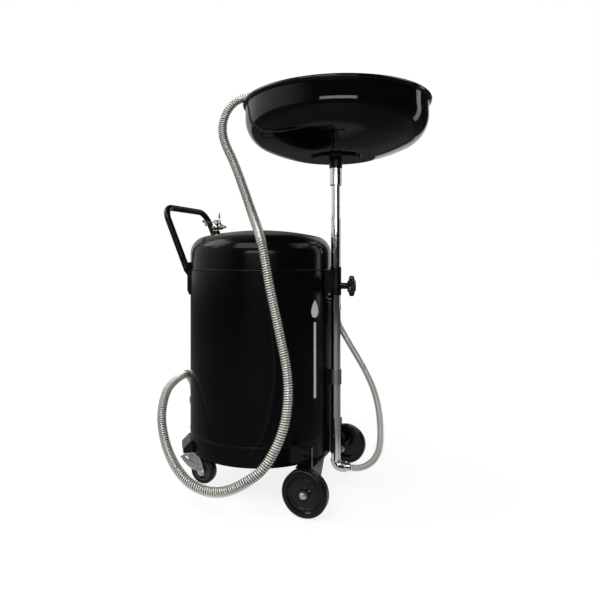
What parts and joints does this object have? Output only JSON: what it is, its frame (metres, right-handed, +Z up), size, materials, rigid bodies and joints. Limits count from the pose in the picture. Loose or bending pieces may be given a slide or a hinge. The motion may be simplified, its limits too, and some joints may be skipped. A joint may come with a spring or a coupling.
{
  "type": "waste oil drainer",
  "caption": "Wheeled waste-oil tank with a sliding drain-bowl mast, pull handle, clamp knob, air fittings and spring-guarded hoses.",
  "frame": {"origin": "on the floor, below the middle of the cart's outline from the handle's crossbar to the bowl's rim", "axes": "+X towards the mast and the bowl, +Y across the cart along the axles, +Z up"},
  "size_m": [0.733, 0.5465, 1.0702],
  "materials": {
    "tank_paint": "gloss black powder coat",
    "frame_paint": "satin black powder coat",
    "bowl_paint": "high-gloss black enamel",
    "chrome": "bright chrome plate",
    "zinc": "bright zinc plate",
    "nickel": "nickel-plated brass",
    "black_steel": "black oxide steel",
    "satin_steel": "satin grey steel",
    "tyre_rubber": "solid black rubber",
    "black_plastic": "moulded black plastic",
    "grey_plastic": "moulded dark grey plastic",
    "spring_steel": "plated steel spring guard over rubber hose"
  },
  "bodies": {
    "cart": {"tank_barrel": "tank_paint", "tank_skirt": "tank_paint", "tank_top_head": "tank_paint", "tank_bottom_head": "tank_paint", "pickup_tube": "zinc", "handle_tube": "frame_paint", "right_handle_bracket": "frame_paint", "left_handle_bracket": "frame_paint", "handle_bolts": "black_steel", "front_frame": "frame_paint", "right_frame_lug": "frame_paint", "left_frame_lug": "frame_paint", "frame_bolts": "black_steel", "right_axle": "zinc", "left_axle": "zinc", "wheel_nuts": "zinc", "right_caster_bracket": "frame_paint", "left_caster_bracket": "frame_paint", "right_caster_plate": "zinc", "left_caster_plate": "zinc", "caster_bolts": "zinc", "clamp_bracket": "frame_paint", "clamp_sleeve": "frame_paint", "guide_collar": "satin_steel", "guide_bracket": "frame_paint", "inlet_elbow": "zinc", "outlet_elbow": "zinc", "top_bung": "tank_paint", "valve_body": "nickel", "relief_valve": "nickel", "air_nipple": "nickel", "discharge_hose": "spring_steel", "return_hose": "spring_steel"},
    "mast": {"mast_tube": "chrome", "upper_tube": "chrome", "mast_coupling": "chrome", "drain_flange": "frame_paint", "bowl": "bowl_paint", "drain_nut": "zinc", "strainer": "zinc", "mast_elbow": "chrome", "hose_nozzle": "zinc"},
    "knob": {"clamp_knob": "black_plastic"},
    "lever": {"valve_lever": "nickel"},
    "pull": {"relief_pull": "nickel"},
    "right_wheel": {"right_wheel_hub": "black_plastic", "right_wheel_tyre": "tyre_rubber"},
    "right_caster": {"right_caster_fork": "zinc", "right_caster_axle": "zinc"},
    "right_caster_wheel": {"right_caster_hub": "grey_plastic", "right_caster_tyre": "tyre_rubber"},
    "right_pedal": {"right_caster_pedal": "zinc"},
    "left_wheel": {"left_wheel_hub": "black_plastic", "left_wheel_tyre": "tyre_rubber"},
    "left_caster": {"left_caster_fork": "zinc", "left_caster_axle": "zinc"},
    "left_caster_wheel": {"left_caster_hub": "grey_plastic", "left_caster_tyre": "tyre_rubber"},
    "left_pedal": {"left_caster_pedal": "zinc"}
  },
  "joints": [
    {"name": "mast_slide", "type": "slide", "parent": "cart", "child": "mast", "axis": [0, 0, 1], "range_m": [0, 0.2], "deforming": ["discharge_hose", "return_hose"]},
    {"name": "clamp_screw", "type": "hinge", "parent": "cart", "child": "knob", "pos_m": [0.1145, 0, 0.547], "axis": [1, 0, 0], "range_deg": [0, 360]},
    {"name": "valve_turn", "type": "hinge", "parent": "cart", "child": "lever", "pos_m": [-0.2535, 0, 0.728], "axis": [0, 0, 1], "range_deg": [0, 90]},
    {"name": "relief_lift", "type": "slide", "parent": "cart", "child": "pull", "axis": [0, 0, 1], "range_m": [0, 0.004], "stiffness_N_per_m": 200},
    {"name": "right_wheel_spin", "type": "hinge", "parent": "cart", "child": "right_wheel", "pos_m": [0.0935, -0.19, 0.0575], "axis": [0, 1, 0], "continuous": true},
    {"name": "right_caster_swivel", "type": "hinge", "parent": "cart", "child": "right_caster", "pos_m": [-0.25993, -0.10833, 0.08], "axis": [0, 0, 1], "continuous": true},
    {"name": "right_caster_spin", "type": "hinge", "parent": "right_caster", "child": "right_caster_wheel", "pos_m": [-0.23193, -0.10833, 0.036], "axis": [0, 1, 0], "continuous": true},
    {"name": "right_pedal_press", "type": "hinge", "parent": "right_caster", "child": "right_pedal", "pos_m": [-0.24593, -0.10833, 0.046], "axis": [0, -1, 0], "range_deg": [0, 8]},
    {"name": "left_wheel_spin", "type": "hinge", "parent": "cart", "child": "left_wheel", "pos_m": [0.0935, 0.19, 0.0575], "axis": [0, 1, 0], "continuous": true},
    {"name": "left_caster_swivel", "type": "hinge", "parent": "cart", "child": "left_caster", "pos_m": [-0.25993, 0.10833, 0.08], "axis": [0, 0, 1], "continuous": true},
    {"name": "left_caster_spin", "type": "hinge", "parent": "left_caster", "child": "left_caster_wheel", "pos_m": [-0.23193, 0.10833, 0.036], "axis": [0, 1, 0], "continuous": true},
    {"name": "left_pedal_press", "type": "hinge", "parent": "left_caster", "child": "left_pedal", "pos_m": [-0.24593, 0.10833, 0.046], "axis": [0, -1, 0], "range_deg": [0, 8]}
  ]
}
